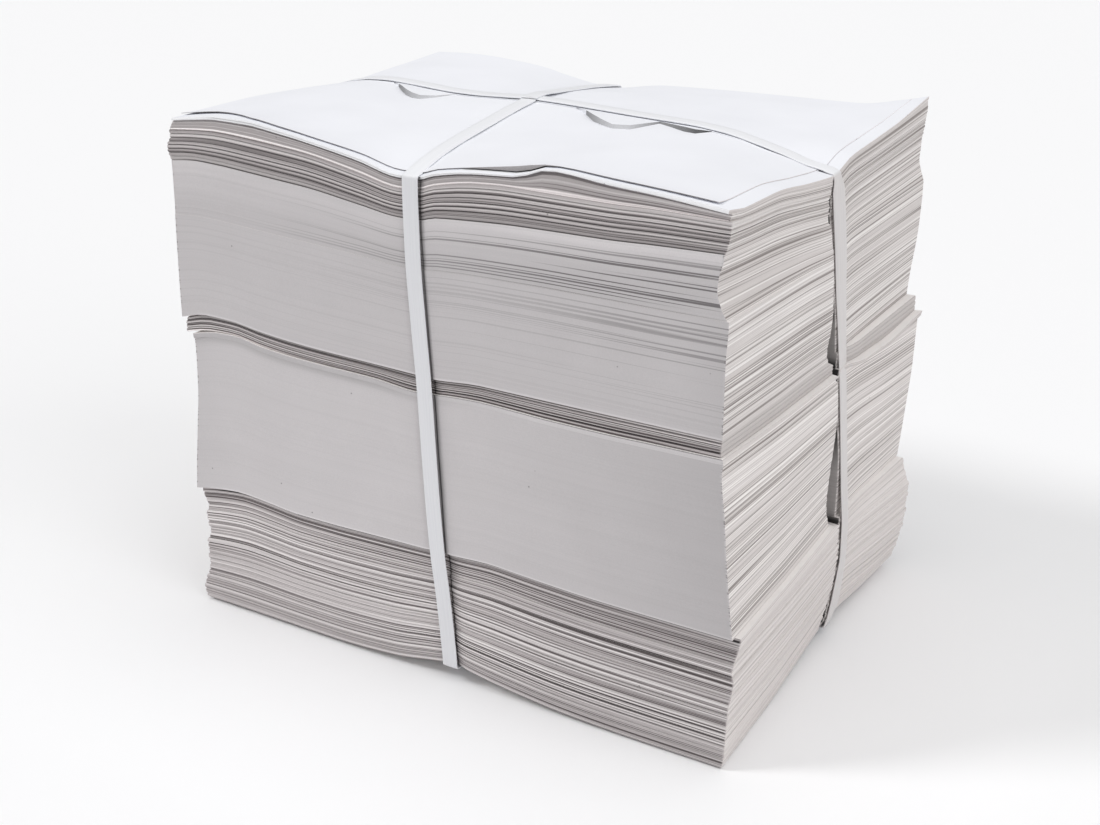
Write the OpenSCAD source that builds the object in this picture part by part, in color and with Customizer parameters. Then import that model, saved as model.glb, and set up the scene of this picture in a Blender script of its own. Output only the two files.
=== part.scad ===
// A tied stack of plain wrapping paper: folded quires and smooth blocks of sheets
// piled into one bale, a cover sheet on top, and two flat plastic straps round it.
// Modelled at rest on its underside, in millimetres, +Z up, the front towards -Y.

/* [Sheets] */
// Width of the folded sheets, along the front of the stack
sheet_w = 380; // [345:1:420]
// Depth of the folded sheets, from front to back
sheet_d = 284; // [255:1:320]
// Air left between one quire and the next
leaf_gap = 0.15; // [0.1:0.01:0.25]
// Depth of the groove between two folded quires
groove = 0.9; // [0.4:0.1:1.4]

/* [Layers] */
// Height of the group of folded quires at the bottom
bottom_h = 89; // [75:1:105]
// Height of the smooth block in the middle
middle_h = 102; // [85:1:120]
// Height of the ledge quire that sticks out on the right, over the middle block
ledge_h = 3; // [2.4:0.1:4]
// Height of the group of thin quires over the ledge
thin_h = 11.5; // [9:0.5:14]
// Height of the smooth block over the thin quires
upper_h = 66.5; // [55:0.5:80]
// Height of the set-back shoulder over the upper block
shoulder_h = 33; // [26:1:40]
// Height of the ribbed group of thin quires under the top
ribbed_h = 16; // [13:0.5:20]
// Height of the thick quire under the white sheets
thick_h = 7; // [5:0.5:9]
// Height of the white sheets under the cover
second_h = 2; // [1.7:0.1:2.8]
// Height of the cover sheets
cover_h = 1.1; // [0.9:0.1:1.5]

/* [Cover] */
// How far the cover is set back from the front
cover_front_in = 6; // [3:0.5:10]
// How far the cover is set back from the right side
cover_right_in = 14; // [11:0.5:18]
// Air under the loose white sheets and under the cover
loose_gap = 0.55; // [0.5:0.05:0.7]

/* [Straps] */
// Width of the plastic strap
strap_w = 11; // [9:0.5:14]
// Thickness of the plastic strap
strap_t = 0.7; // [0.5:0.05:0.9]
// Clearance between a strap and the paper or the other strap
strap_gap = 0.7; // [0.6:0.05:0.9]
// Where the front-to-back strap crosses the top front edge, from the left
front_strap_top = 180; // [165:1:195]
// Where the front-to-back strap crosses the bottom front edge, from the left
front_strap_bottom = 203; // [188:1:215]
// Where the front-to-back strap crosses the top rear edge, from the left
rear_strap_top = 152; // [140:1:180]
// Where the front-to-back strap crosses the bottom rear edge, from the left
rear_strap_bottom = 168; // [155:1:190]
// Where the side-to-side strap crosses the left face, from the front
left_strap = 172; // [160:1:180]

/* [Hidden] */
// Heights of the boundaries between the groups, from the bottom up
lv_bottom = bottom_h;
lv_middle = lv_bottom + middle_h;
lv_ledge = lv_middle + ledge_h;
lv_thin = lv_ledge + thin_h;
lv_upper = lv_thin + upper_h;
lv_shoulder = lv_upper + shoulder_h;
lv_ribbed = lv_shoulder + ribbed_h;
lv_thick = lv_ribbed + thick_h;
lv_second = lv_thick + second_h;
stack_h = lv_second + cover_h;

// Every boundary between two quires is one sheet surface over a grid of 8 by 8 nodes.
// Node 0 and the last node lie on the quire's own outline, the others are shared.
last = 7;
perimeter = concat([for (i = [0 : last - 1]) [i, 0]], [for (j = [0 : last - 1]) [last, j]],
                   [for (i = [last : -1 : 1]) [i, last]], [for (j = [last : -1 : 1]) [0, j]]);
left_in = 36;
left_mid_top = 100;
left_mid_bottom = 140;
strap_reach = 32;
right_mid = 90;
right_in = 24;
front_in = 10;
front_mid = 40;
side_reach = 16;
rear_in = 22;

// How far along its crossing each node lies on the line of a strap
share_y = [0, 0.03, 0.14, 0.46, 0.52, 0.58, 0.92, 1];
share_x = [0, 0.1, 0.27, 0.45, 0.55, 0.75, 0.94, 1];

// Line of the side-to-side strap on the right face: share of the height, place from the front
right_strap_line = [[0, 175], [0.33, 171], [0.5, 165], [0.67, 158], [0.83, 148], [1, 135]];
// The same strap's distance out of the right face, and its twist towards the front
right_strap_out = [[0, -2], [0.07, 0.5], [0.14, 3], [0.25, 4.5], [0.34, 3.2], [0.5, 1.2],
                   [0.67, -0.8], [0.83, -2.3], [1, -3.8]];
right_strap_twist = [[0, 0], [0.2, 4], [0.5, 12], [0.83, 26], [1, 24]];

// How the strapped stack is pressed out of flat, by level: the level, then for nodes along X
// the swell, the dip at the front edge and the dip at the rear edge, then for nodes along Y
// the hollow, the dip at the left edge and the dip at the right edge
levels = [
    [0, [0, 0, 0, 2.6, 1, 0, 0, 0], [0, 0, 0, 9.4, 4.5, 0, 0, 0], [0, 0, 0, 8, 4, 0, 0, 0],
        [0, 0, 0, 0, 2.6, 0, 0, 0], [0, 0, 0, 0, 3, 0, 0, 0], [0, 0, 0, 6, 6.5, 5.5, 0, 0]],
    [lv_bottom, [-1.5, 1, -0.5, 0.5, 1, 0, 0, 0], [-1.2, 1, -0.5, 1, 1.3, -0.5, -0.3, 0],
        [0, 1, 0, 1, 1, 0, 0, 0],
        [0, 0, 0, 0, 0, 0, 0, 0], [0, 0, 0, 0, 0, 0, 0, 0], [0, 0, 0.5, 1, 1.5, 2, -1, -2]],
    [lv_ledge, [0.4, 3, 0.5, -1, 0, 0, 0, 0], [1, 3, 0, -1.5, 0, -0.5, 0, 0],
        [0, 1, 0, -1, 0, 0, 0, 0],
        [0, 0, 0, 0, 0, 0, 0, 0], [0, 0, 0, 0, 0, 0, 0, 0], [0, 0, 0, 0, 0, 0, -3, -4]],
    [lv_thin, [0, 2.5, 0, -1, 0, 0, 0, 0], [0.2, 2.5, -1, -2, -0.5, 0, 0, 0],
        [0, 1, 0, -1, 0, 0, 0, 0],
        [0, 0, 0, 0, 0, 0, 0, 0], [0, 0, 0, 0, 0, 0, 0, 0], [0, 0, 0, -0.5, -0.5, -0.5, -1, -1.5]],
    [lv_shoulder, [0, 1.5, 1, 0, 1, 1, 0.5, 0.5], [1.4, 1.5, -3.5, -9, -5, -0.6, 0.3, 0.3],
        [0, -0.5, -3, -8, -6, -4, 0, 2.5],
        [0, 0, 0, 0, 0, 0, 0, 0], [0, 0, 0.5, 2, -2, -1, 0, 0], [0, 0, 0, -7, -8.5, -7, 0, 0]],
    [stack_h, [-1, 2, 2.5, 4.5, 5.5, 5, 0, -1], [4.5, 8, 1, -16, -5.5, 3, 1, 0.5],
        [0, -1, -5.5, -13, -11, -9, -1, 3],
        [0, 0, 0, 0, 0, 0, 0, 0], [0, 0, 1, 1.5, -3, -2, 0, 0], [0, 0, -0.5, -9.5, -10.5, -9, -1, 0]]
];
// How far each edge's dips reach inwards, node by node
front_fade = [1, 0.93, 0.52, 0.12, 0, 0, 0, 0];
rear_fade = [0, 0, 0, 0, 0, 0.1, 0.75, 1];
left_fade = [1, 0.4, 0, 0, 0, 0, 0, 0];
right_fade = [0, 0, 0, 0, 0, 0, 1, 1];

// How far each group stands out of the stack's plain box, as rows of
// [share of the group's height, left, right at the front, right at the rear, front, rear]
bottom_edge = [[0, 4.5, 5, -1, 0, 0], [0.1, 4.5, 5.5, 3, 0.5, 0.5], [0.35, -2, 6, 8, 0.5, 1],
               [0.6, -4.5, 8.5, 10, 1, 0], [0.72, -5, 7.5, 10.5, 0.5, 0],
               [0.88, -4, 10, 8, 0, -1], [1, -1, 12, 5, 0, -1]];
middle_edge = [[0, 1.3, 8, 0, 3, 1], [0.2, 0, 5, 1.5, 2, 1], [0.45, -3, 2, 4, 1.5, 0],
               [0.75, -6, -2, 5, 1, 0], [1, -6.5, -4, 5.5, 0.5, 0]];
ledge_edge = [[0, -5, -4.5, 8, 0.5, 1]];
thin_edge = [[0, 0.5, -5.5, 2.5, -1, 0]];
upper_edge = [[0, 2.4, -4.5, -3.5, 1, 0], [0.15, 2.4, -4.5, -2.5, 0.8, 0],
              [0.65, 1.8, -4.7, 0.5, 0.5, 0.5], [1, 0.8, -4, 1, 0.5, 0]];
shoulder_edge = [[0, 0.8, -8, 1, 0, 0], [0.2, 0.7, -9.5, 1, 0, 0], [0.5, 0.5, -11.5, -2, 0, 0],
                 [1, 0, -9, -2.5, 0, 0]];
ribbed_edge = [[0, 3, -8.5, -1.5, 0.3, 0], [0.5, 4, -6, -1, 0, 0], [1, 1.5, -5, -0.5, 0.3, 0]];
thick_edge = [[0, 0.5, -4, -0.5, -0.3, 0], [1, -1, -3.5, -0.5, -0.3, 0]];
second_edge = [[0, -1, -2.5, -0.5, 1, 0]];
cover_edge = [[0, -3, -cover_right_in, -cover_right_in + 2, -cover_front_in, -1]];
// Gentle swell of the faces between the corners and the straps
swell_x = [0, 0.4, 0.7, 0, 0.4, 0.7, 0.3, 0];
swell_y = [0, 0.3, 1, 0.5, 0, 0.5, 0, 0];
// Furthest that the paper stands out under and beside the strap on the left and right faces
left_strap_limit = -1;
left_flank_limit = 1.5;
right_strap_depth = 5.5;

white = [0.94, 0.945, 0.965];
grey = [0.78, 0.765, 0.77];
ribbed_grey = [0.72, 0.705, 0.71];
strap_white = [0.87, 0.88, 0.9];

half_gap = leaf_gap / 2;

// Groups from the bottom up:
// [name, quires, first level, last level, groove depth, ragged edges, edge rows, colour, air below]
groups = [
    ["bottom_quire", 21, 0, lv_bottom, groove, 0.6, bottom_edge, ribbed_grey, half_gap],
    ["middle_quire", 5, lv_bottom, lv_middle, 0, 0, middle_edge, grey, half_gap],
    ["ledge_quire", 1, lv_middle, lv_ledge, 0, 0, ledge_edge, grey, half_gap],
    ["thin_quire", 4, lv_ledge, lv_thin, groove, 0.4, thin_edge, ribbed_grey, half_gap],
    ["upper_quire", 5, lv_thin, lv_upper, 0, 0, upper_edge, grey, half_gap],
    ["shoulder_quire", 3, lv_upper, lv_shoulder, 0, 0, shoulder_edge, grey, half_gap],
    ["ribbed_quire", 8, lv_shoulder, lv_ribbed, groove * 0.6, 0.5, ribbed_edge, ribbed_grey, half_gap],
    ["thick_quire", 1, lv_ribbed, lv_thick, groove * 0.6, 0, thick_edge, ribbed_grey, half_gap],
    ["second_sheets", 1, lv_thick, lv_second, 0, 0, second_edge, white, loose_gap],
    ["cover_sheets", 1, lv_second, stack_h, 0, 0, cover_edge, white, loose_gap]
];
quires = [for (g = groups) for (k = [1 : g[1]])
    [g[1] == 1 ? g[0] : str(g[0], "_", k < 10 ? "0" : "", k), g, k]];

function mix(a, b, s) = a + (b - a) * s;
function level_value(t, part, n) = lookup(t, [for (row = levels) [row[0], row[part][n]]]);
function edge_value(g, s, side) = lookup(s, [for (row = g[6]) [row[0], row[side]]]);

// Lines of the two straps over the paper at level t
function front_back_x(t, s) =
    mix(mix(front_strap_bottom, front_strap_top, t / stack_h),
        mix(rear_strap_bottom, rear_strap_top, t / stack_h), s);
function side_side_y(t, s) = mix(left_strap, lookup(t / stack_h, right_strap_line), s);

// Place of a shared node at level t
function node_x(i, j, t) =
    i == 1 ? left_in :
    i == 2 ? mix(left_mid_bottom, left_mid_top, t / stack_h) :
    i == 3 ? front_back_x(t, share_y[j]) :
    i == 4 ? front_back_x(t, share_y[j]) + strap_reach :
    i == 5 ? sheet_w - right_mid : sheet_w - right_in;
function node_y(i, j, t) =
    j == 1 ? front_in :
    j == 2 ? front_mid :
    j < 6 ? side_side_y(t, share_x[i]) + (j - 4) * side_reach : sheet_d - rear_in;

// A profile's value at a node, carried on in a straight line to the quire's own edge
function edge_slope(row, n, p, size, first, final) =
    n == 0 ? mix(row[1], row[0], (first - p) / first) :
    n == last ? mix(row[last - 1], row[last], (p - size + final) / final) : row[n];
function along_x(row, i, x) = edge_slope(row, i, x, sheet_w, left_in, right_in);
function along_y(row, j, y) = edge_slope(row, j, y, sheet_d, front_in, rear_in);
function level_row(t, part) = [for (n = [0 : last]) level_value(t, part, n)];

// Height of the sheet surface of level t at a node that lies at x, y
function sheet_z(i, j, t, x, y) =
    t + along_x(level_row(t, 1), i, x)
      + along_x(level_row(t, 2), i, x) * along_y(front_fade, j, y)
      + along_x(level_row(t, 3), i, x) * along_y(rear_fade, j, y)
      + along_y(level_row(t, 4), j, y)
      + along_y(level_row(t, 5), j, y) * along_x(left_fade, i, x)
      + along_y(level_row(t, 6), j, y) * along_x(right_fade, i, x);

// Outline of a quire of group g at share s of the group's height, level t, moved out by d
function left_edge(g, s, j, d) =
    let (out = edge_value(g, s, 1) + swell_y[j])
    -(j == 4 ? min(out, left_strap_limit) :
      j == 3 || j == 5 ? min(out, left_flank_limit) : out) - d;
function right_edge(g, s, t, j, d) =
    let (out = mix(edge_value(g, s, 2), edge_value(g, s, 3), share_y[j]) + swell_y[j])
    sheet_w + d + (j == 4 ? min(out, lookup(t / stack_h, right_strap_out) - right_strap_depth) : out);
function front_edge(g, s, i, d) = -edge_value(g, s, 4) - swell_x[i] - d;
function rear_edge(g, s, i, d) = sheet_d + edge_value(g, s, 5) + swell_x[i] + d;

// Shares of the group's height for the outline of quire n, below and above: a folded quire
// has upright sides, a block of trimmed sheets follows the group's slope
function edge_shares(g, n) =
    g[4] > 0 ? [(n - 0.5) / g[1], (n - 0.5) / g[1]] : [(n - 1) / g[1], n / g[1]];
function ragged_out(g, n) = g[5] * sin(137 * n);

// A node of a quire's surface: shared inside, and on the quire's own outline at the edge
function quire_node(g, s, t, i, j, d) =
    let (x = i == 0 ? left_edge(g, s, j, d) :
             i == last ? right_edge(g, s, t, j, d) : node_x(i, j, t),
         y = j == 0 ? front_edge(g, s, i, d) :
             j == last ? rear_edge(g, s, i, d) : node_y(i, j, t))
    [x, y, sheet_z(i, j, t, x, y)];

// Two triangles of one grid cell, seen clockwise from above
function cell(base, i, j) =
    let (a = base + i * (last + 1) + j, b = a + last + 1)
    [[a, a + 1, b + 1], [a, b + 1, b]];
function flipped(face) = [face[2], face[1], face[0]];
function grid_faces(base) =
    [for (i = [0 : last - 1]) for (j = [0 : last - 1]) for (f = cell(base, i, j)) f];
function rim(base, k) = base + perimeter[k][0] * (last + 1) + perimeter[k][1];

// One quire: a sheet surface above and below, joined by a rim that bulges where it is folded
module quire(k) {
    g = quires[k][1];
    count = g[1];
    n = quires[k][2];
    depth = g[4];
    ragged = ragged_out(g, n);
    low = mix(g[2], g[3], (n - 1) / count);
    high = mix(g[2], g[3], n / count);
    shares = edge_shares(g, n);
    low_share = shares[0];
    high_share = shares[1];
    nodes = (last + 1) * (last + 1);
    rims = len(perimeter);
    top = [for (i = [0 : last]) for (j = [0 : last])
        quire_node(g, high_share, high, i, j, ragged - depth)
        - [0, 0, high == stack_h ? 0 : half_gap]];
    under = [for (i = [0 : last]) for (j = [0 : last])
        quire_node(g, low_share, low, i, j, ragged - depth) + [0, 0, low == 0 ? 0 : g[8]]];
    middle = [for (p = perimeter)
        let (a = quire_node(g, low_share, low, p[0], p[1], ragged),
             b = quire_node(g, high_share, high, p[0], p[1], ragged))
        (a + b) / 2];
    rim_faces = depth > 0
        ? [for (k = [0 : rims - 1]) let (m = (k + 1) % rims, a = 2 * nodes + k, b = 2 * nodes + m)
            each [[rim(0, k), rim(0, m), b], [rim(0, k), b, a],
                  [a, b, rim(nodes, m)], [a, rim(nodes, m), rim(nodes, k)]]]
        : [for (k = [0 : rims - 1]) let (m = (k + 1) % rims)
            each [[rim(0, k), rim(0, m), rim(nodes, m)], [rim(0, k), rim(nodes, m), rim(nodes, k)]]];
    color(g[7])
        translate(centre)
            polyhedron(points = depth > 0 ? concat(top, under, middle) : concat(top, under),
                       faces = concat(grid_faces(0), [for (f = grid_faces(nodes)) flipped(f)],
                                      rim_faces));
}

function unit(v) = v / norm(v);

// Height of the bare top and underside at a shared node
function top_z(i, j) = let (t = stack_h) sheet_z(i, j, t, node_x(i, j, t), node_y(i, j, t));
function under_z(i, j) = sheet_z(i, j, 0, node_x(i, j, 0), node_y(i, j, 0));

// A flat strap bridges the dip that it presses: how far the flanks rise beside its middle
function flank(middle, near, near_run, far, far_run) =
    max(0, (near - middle) / near_run, (far - middle) / far_run) * strap_w / 2;
strap_seat = strap_gap + strap_t / 2;

// Centre line points of the side-to-side strap on the top and under the stack
function over_x(i) =
    let (z = top_z(i, 4))
    [node_x(i, 4, stack_h), node_y(i, 4, stack_h), z + strap_seat
        + flank(z, top_z(i, 3), side_reach, top_z(i, 5), side_reach)];
function beneath_x(i) =
    let (z = under_z(i, 4))
    [node_x(i, 4, 0), node_y(i, 4, 0), max(strap_t / 2, z - strap_seat
        - flank(-z, -under_z(i, 3), side_reach, -under_z(i, 5), side_reach))];
// And of the front-to-back strap, which lies outside the other where they cross
strap_step = strap_t + strap_gap;
function crosses(j) = j >= 3 && j <= 5;
function over_y(j) =
    let (x = node_x(3, j, stack_h), z = top_z(3, j),
         seat = z + strap_seat
             + flank(z, top_z(2, j), x - node_x(2, j, stack_h), top_z(4, j), strap_reach))
    [x, node_y(3, j, stack_h), crosses(j) ? max(seat, over_x(3)[2] + strap_step) : seat];
function beneath_y(j) =
    let (x = node_x(3, j, 0), z = under_z(3, j),
         seat = z - strap_seat
             - flank(-z, -under_z(2, j), x - node_x(2, j, 0), -under_z(4, j), strap_reach))
    [x, node_y(3, j, 0),
     max(strap_t / 2, crosses(j) ? min(seat, beneath_x(3)[2] - strap_step) : seat)];

// Points of a bend round an edge, from direction angle a to b, in the plane of out and up
function bend(corner, radius, out, a, b, steps) =
    [for (n = [0 : steps]) let (w = mix(a, b, n / steps), dir = out * cos(w) + [0, 0, sin(w)])
        [corner + dir * radius, dir]];

bend_steps = 4;
bend_r = 2;
up = [0, 0, 1];
down = [0, 0, -1];
// How far the straps lie out of the plain box on the front, the rear and the left side
front_out = 4.4;
front_low_out = 2.9;
rear_out = 2.4;
left_out = 1.4;
// How far the bends at the edges lie below and above the points on the top and underneath
front_drop = 0.8;
front_lift = 1.2;
left_drop = 3;
left_lift = 1;
far_drop = 1.6;
far_lift = 0.4;

// The centre line of the front-to-back strap as [point, outward normal] pairs, once round
function front_back_line() =
    let (front_top_z = over_y(1)[2] - front_drop, front_low_z = beneath_y(1)[2] + front_lift,
         rear_top_z = over_y(6)[2] - far_drop, rear_low_z = beneath_y(6)[2] + far_lift)
    concat(
        [for (j = [6 : -1 : 1]) [over_y(j), up]],
        bend([front_strap_top, bend_r - front_out, front_top_z - bend_r], bend_r, [0, -1, 0],
             90, 0, bend_steps),
        [[[front_back_x(lv_bottom, 0), -front_out, lv_bottom], [0, -1, 0]]],
        bend([front_strap_bottom, bend_r - front_low_out, front_low_z + bend_r], bend_r,
             [0, -1, 0], 0, -90, bend_steps),
        [for (j = [1 : 6]) [beneath_y(j), down]],
        bend([rear_strap_bottom, sheet_d + rear_out - bend_r, rear_low_z + bend_r], bend_r,
             [0, 1, 0], -90, 0, bend_steps),
        bend([rear_strap_top, sheet_d + rear_out - bend_r, rear_top_z - bend_r], bend_r,
             [0, 1, 0], 0, 90, bend_steps));

// The centre line of the side-to-side strap, which twists towards the front on the right face
right_stations = [0.94, 0.83, 0.67, 0.5, 0.34, 0.25, 0.14, 0.07];
function right_point(s) =
    let (w = lookup(s, right_strap_twist))
    [[sheet_w + lookup(s, right_strap_out), lookup(s, right_strap_line), s * stack_h],
     [cos(w), -sin(w), 0]];
function side_side_line() =
    let (right_top = right_point(1), right_low = right_point(0),
         right_top_z = over_x(6)[2] - far_drop, right_low_z = beneath_x(6)[2] + far_lift,
         left_top_z = over_x(1)[2] - left_drop, left_low_z = beneath_x(1)[2] + left_lift)
    concat(
        [for (i = [1 : 6]) [over_x(i), up]],
        bend([right_top[0][0] - bend_r, right_top[0][1], right_top_z - bend_r], bend_r,
             [1, 0, 0], 90, 20, bend_steps),
        [for (s = right_stations) right_point(s)],
        bend([right_low[0][0] - bend_r, right_low[0][1], right_low_z + bend_r], bend_r,
             [1, 0, 0], -20, -90, bend_steps),
        [for (i = [6 : -1 : 1]) [beneath_x(i), down]],
        bend([bend_r - left_out, left_strap, left_low_z + bend_r], bend_r, [-1, 0, 0],
             -90, 0, bend_steps),
        bend([bend_r - left_out, left_strap, left_top_z - bend_r], bend_r, [-1, 0, 0],
             0, 90, bend_steps));

// A flat closed band swept along a line of [point, normal] pairs
module band(line) {
    count = len(line);
    corners = [for (n = [0 : count - 1])
        let (p = line[n][0],
             ahead = unit(line[(n + 1) % count][0] - line[(n + count - 1) % count][0]),
             across = unit(cross(line[n][1], ahead)) * strap_w / 2,
             out = unit(cross(ahead, across)) * strap_t / 2)
        each [p - across - out, p + across - out, p + across + out, p - across + out]];
    polyhedron(points = corners,
               faces = [for (n = [0 : count - 1]) for (c = [0 : 3])
                   let (m = (n + 1) % count, e = (c + 1) % 4)
                   each [[4 * n + c, 4 * m + e, 4 * n + e], [4 * n + c, 4 * m + c, 4 * m + e]]]);
}

module strap_front_back() {
    color(strap_white) translate(centre) band(front_back_line());
}

module strap_side_side() {
    color(strap_white) translate(centre) band(side_side_line());
}

// The origin is the centre of the box round everything, on the floor
outline_x = [for (q = quires) let (g = q[1], out = ragged_out(g, q[2]))
    for (s = edge_shares(g, q[2])) for (j = [0 : last])
        each [left_edge(g, s, j, out), right_edge(g, s, mix(g[2], g[3], s), j, out)]];
outline_y = concat([-front_out - strap_t / 2, sheet_d + rear_out + strap_t / 2],
    [for (q = quires) let (g = q[1], out = ragged_out(g, q[2]))
        for (s = edge_shares(g, q[2])) for (i = [0 : last])
            each [front_edge(g, s, i, out), rear_edge(g, s, i, out)]]);
centre = [-(min(outline_x) + max(outline_x)) / 2, -(min(outline_y) + max(outline_y)) / 2, 0];

for (k = [0 : len(quires) - 1])
    quire(k);
strap_front_back();
strap_side_side();
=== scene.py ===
import math

import bmesh
import bpy
import numpy as np
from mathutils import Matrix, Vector


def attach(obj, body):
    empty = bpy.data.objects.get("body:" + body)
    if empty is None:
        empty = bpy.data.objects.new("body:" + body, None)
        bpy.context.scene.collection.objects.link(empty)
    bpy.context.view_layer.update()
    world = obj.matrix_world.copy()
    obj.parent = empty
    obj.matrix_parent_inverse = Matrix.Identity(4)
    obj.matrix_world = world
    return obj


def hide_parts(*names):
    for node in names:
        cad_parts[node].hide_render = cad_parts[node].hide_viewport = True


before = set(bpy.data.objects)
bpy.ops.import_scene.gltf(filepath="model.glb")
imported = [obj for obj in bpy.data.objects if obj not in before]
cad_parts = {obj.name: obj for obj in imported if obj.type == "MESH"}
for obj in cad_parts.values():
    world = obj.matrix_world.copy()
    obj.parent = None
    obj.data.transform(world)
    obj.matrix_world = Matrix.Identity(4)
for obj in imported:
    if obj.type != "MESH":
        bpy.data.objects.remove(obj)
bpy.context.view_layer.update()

print("frame loaded:", len(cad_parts), "nodes")

# All sizes of the bale are in millimetres from its front left bottom corner, levels count from the floor
bale = {
    "width": 380,
    "depth": 284,
    "height": 331.1,
    "middleX": 192.911,  # from the front left corner to the origin
    "middleY": 141,
    "frontStrapMark": 190,  # mark that lies under the front-to-back strap
    "sideStrapMark": 175,  # column that lies under the side-to-side strap
    "seed": 11,
}


def smoothCurve(places, values, at):
    # a curve through given points that never swings past them
    places = np.asarray(places, float)
    values = np.asarray(values, float)
    run = np.diff(places)
    slope = np.diff(values) / run
    lean = np.concatenate([slope[:1], np.zeros(len(slope) - 1), slope[-1:]])
    both = slope[:-1] * slope[1:]
    same = np.where(both > 0)[0]
    lean[same + 1] = 2 * both[same] / (slope[same] + slope[same + 1])
    at = np.clip(at, places[0], places[-1])
    k = np.clip(np.searchsorted(places, at, side="right") - 1, 0, len(run) - 1)
    s = (at - places[k]) / run[k]
    rise = lean[k] * run[k] * s * (1 - s) ** 2 - lean[k + 1] * run[k] * s * s * (1 - s)
    return values[k] * (1 + 2 * s) * (1 - s) ** 2 + values[k + 1] * s * s * (3 - 2 * s) + rise


def rowsAt(places, rows, level, at):
    # height of a family of curves, one row for each level, blended between the levels
    marks = np.array([row[0] for row in rows], float)
    curves = np.array([smoothCurve(places, row[1], at) for row in rows])
    k = np.clip(np.searchsorted(marks, level, side="right") - 1, 0, len(marks) - 2)
    s = np.clip((level - marks[k]) / (marks[k + 1] - marks[k]), 0, 1)
    n = np.arange(len(at))
    return curves[k, n] * (1 - s) + curves[k + 1, n] * s


def stretched(at, marks, places):
    # moves columns from their marks to places that follow the straps
    marks = np.asarray(marks, float)
    placed = np.array([np.broadcast_to(p, at.shape) for p in places], float)
    k = np.clip(np.searchsorted(marks, at, side="right") - 1, 0, len(marks) - 2)
    s = (at - marks[k]) / (marks[k + 1] - marks[k])
    n = np.arange(len(at))
    return placed[k, n] + s * (placed[k + 1, n] - placed[k, n])


chance = np.random.default_rng(bale["seed"]).random(4096) * 2 - 1


def ripple(a, b, seed):
    # smooth seeded unevenness from -1 to 1, one unit long in a and in b
    i, j = np.floor(a).astype(int), np.floor(b).astype(int)
    s, r = a - i, b - j
    s, r = s * s * (3 - 2 * s), r * r * (3 - 2 * r)

    def corner(m, n):
        return chance[(m * 157 + n * 1031 + seed * 613) % 4096]

    near = corner(i, j) * (1 - s) + corner(i + 1, j) * s
    far = corner(i, j + 1) * (1 - s) + corner(i + 1, j + 1) * s
    return near * (1 - r) + far * r


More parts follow.
